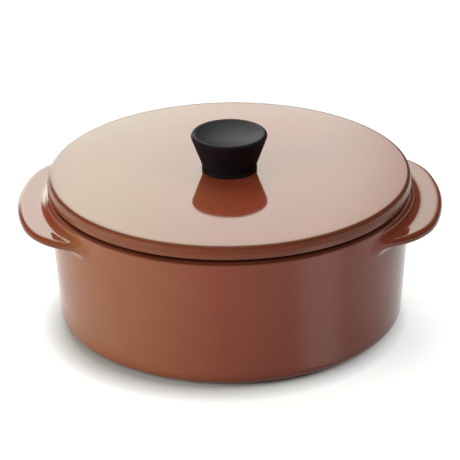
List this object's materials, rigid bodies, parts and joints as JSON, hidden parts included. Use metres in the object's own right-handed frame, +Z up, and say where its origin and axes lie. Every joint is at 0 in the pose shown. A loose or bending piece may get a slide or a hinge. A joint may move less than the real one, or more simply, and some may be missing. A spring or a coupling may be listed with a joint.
{
  "type": "lidded baking dish",
  "caption": "Round glazed casserole with two ledge-like lug handles, a tapered wall, and a flat lid with a locating ring and a tapered, dish-topped knob.",
  "frame": {"origin": "centre of the circle that the foot ring stands on", "axes": "+Z up through the knob, +X through the two lug handles, -Y towards the viewer of the front"},
  "size_m": [0.2916, 0.25, 0.1345],
  "materials": {
    "glaze": "glossy cinnamon-brown glaze",
    "knob_plastic": "satin black moulded plastic",
    "silicone": "matt black",
    "insert_brass": "turned",
    "fastener_steel": "bright"
  },
  "bodies": {
    "dish": {"dish": "glaze"},
    "lid": {"lid": "glaze", "knob": "knob_plastic", "knob_seat": "silicone", "knob_insert": "insert_brass", "knob_screw": "fastener_steel", "screw_washer": "fastener_steel", "sealing_washer": "silicone"}
  },
  "joints": [
    {"name": "lid_lift", "type": "slide", "parent": "dish", "child": "lid", "axis": [0, 0, 1], "range_m": [0, 0.15]}
  ]
}
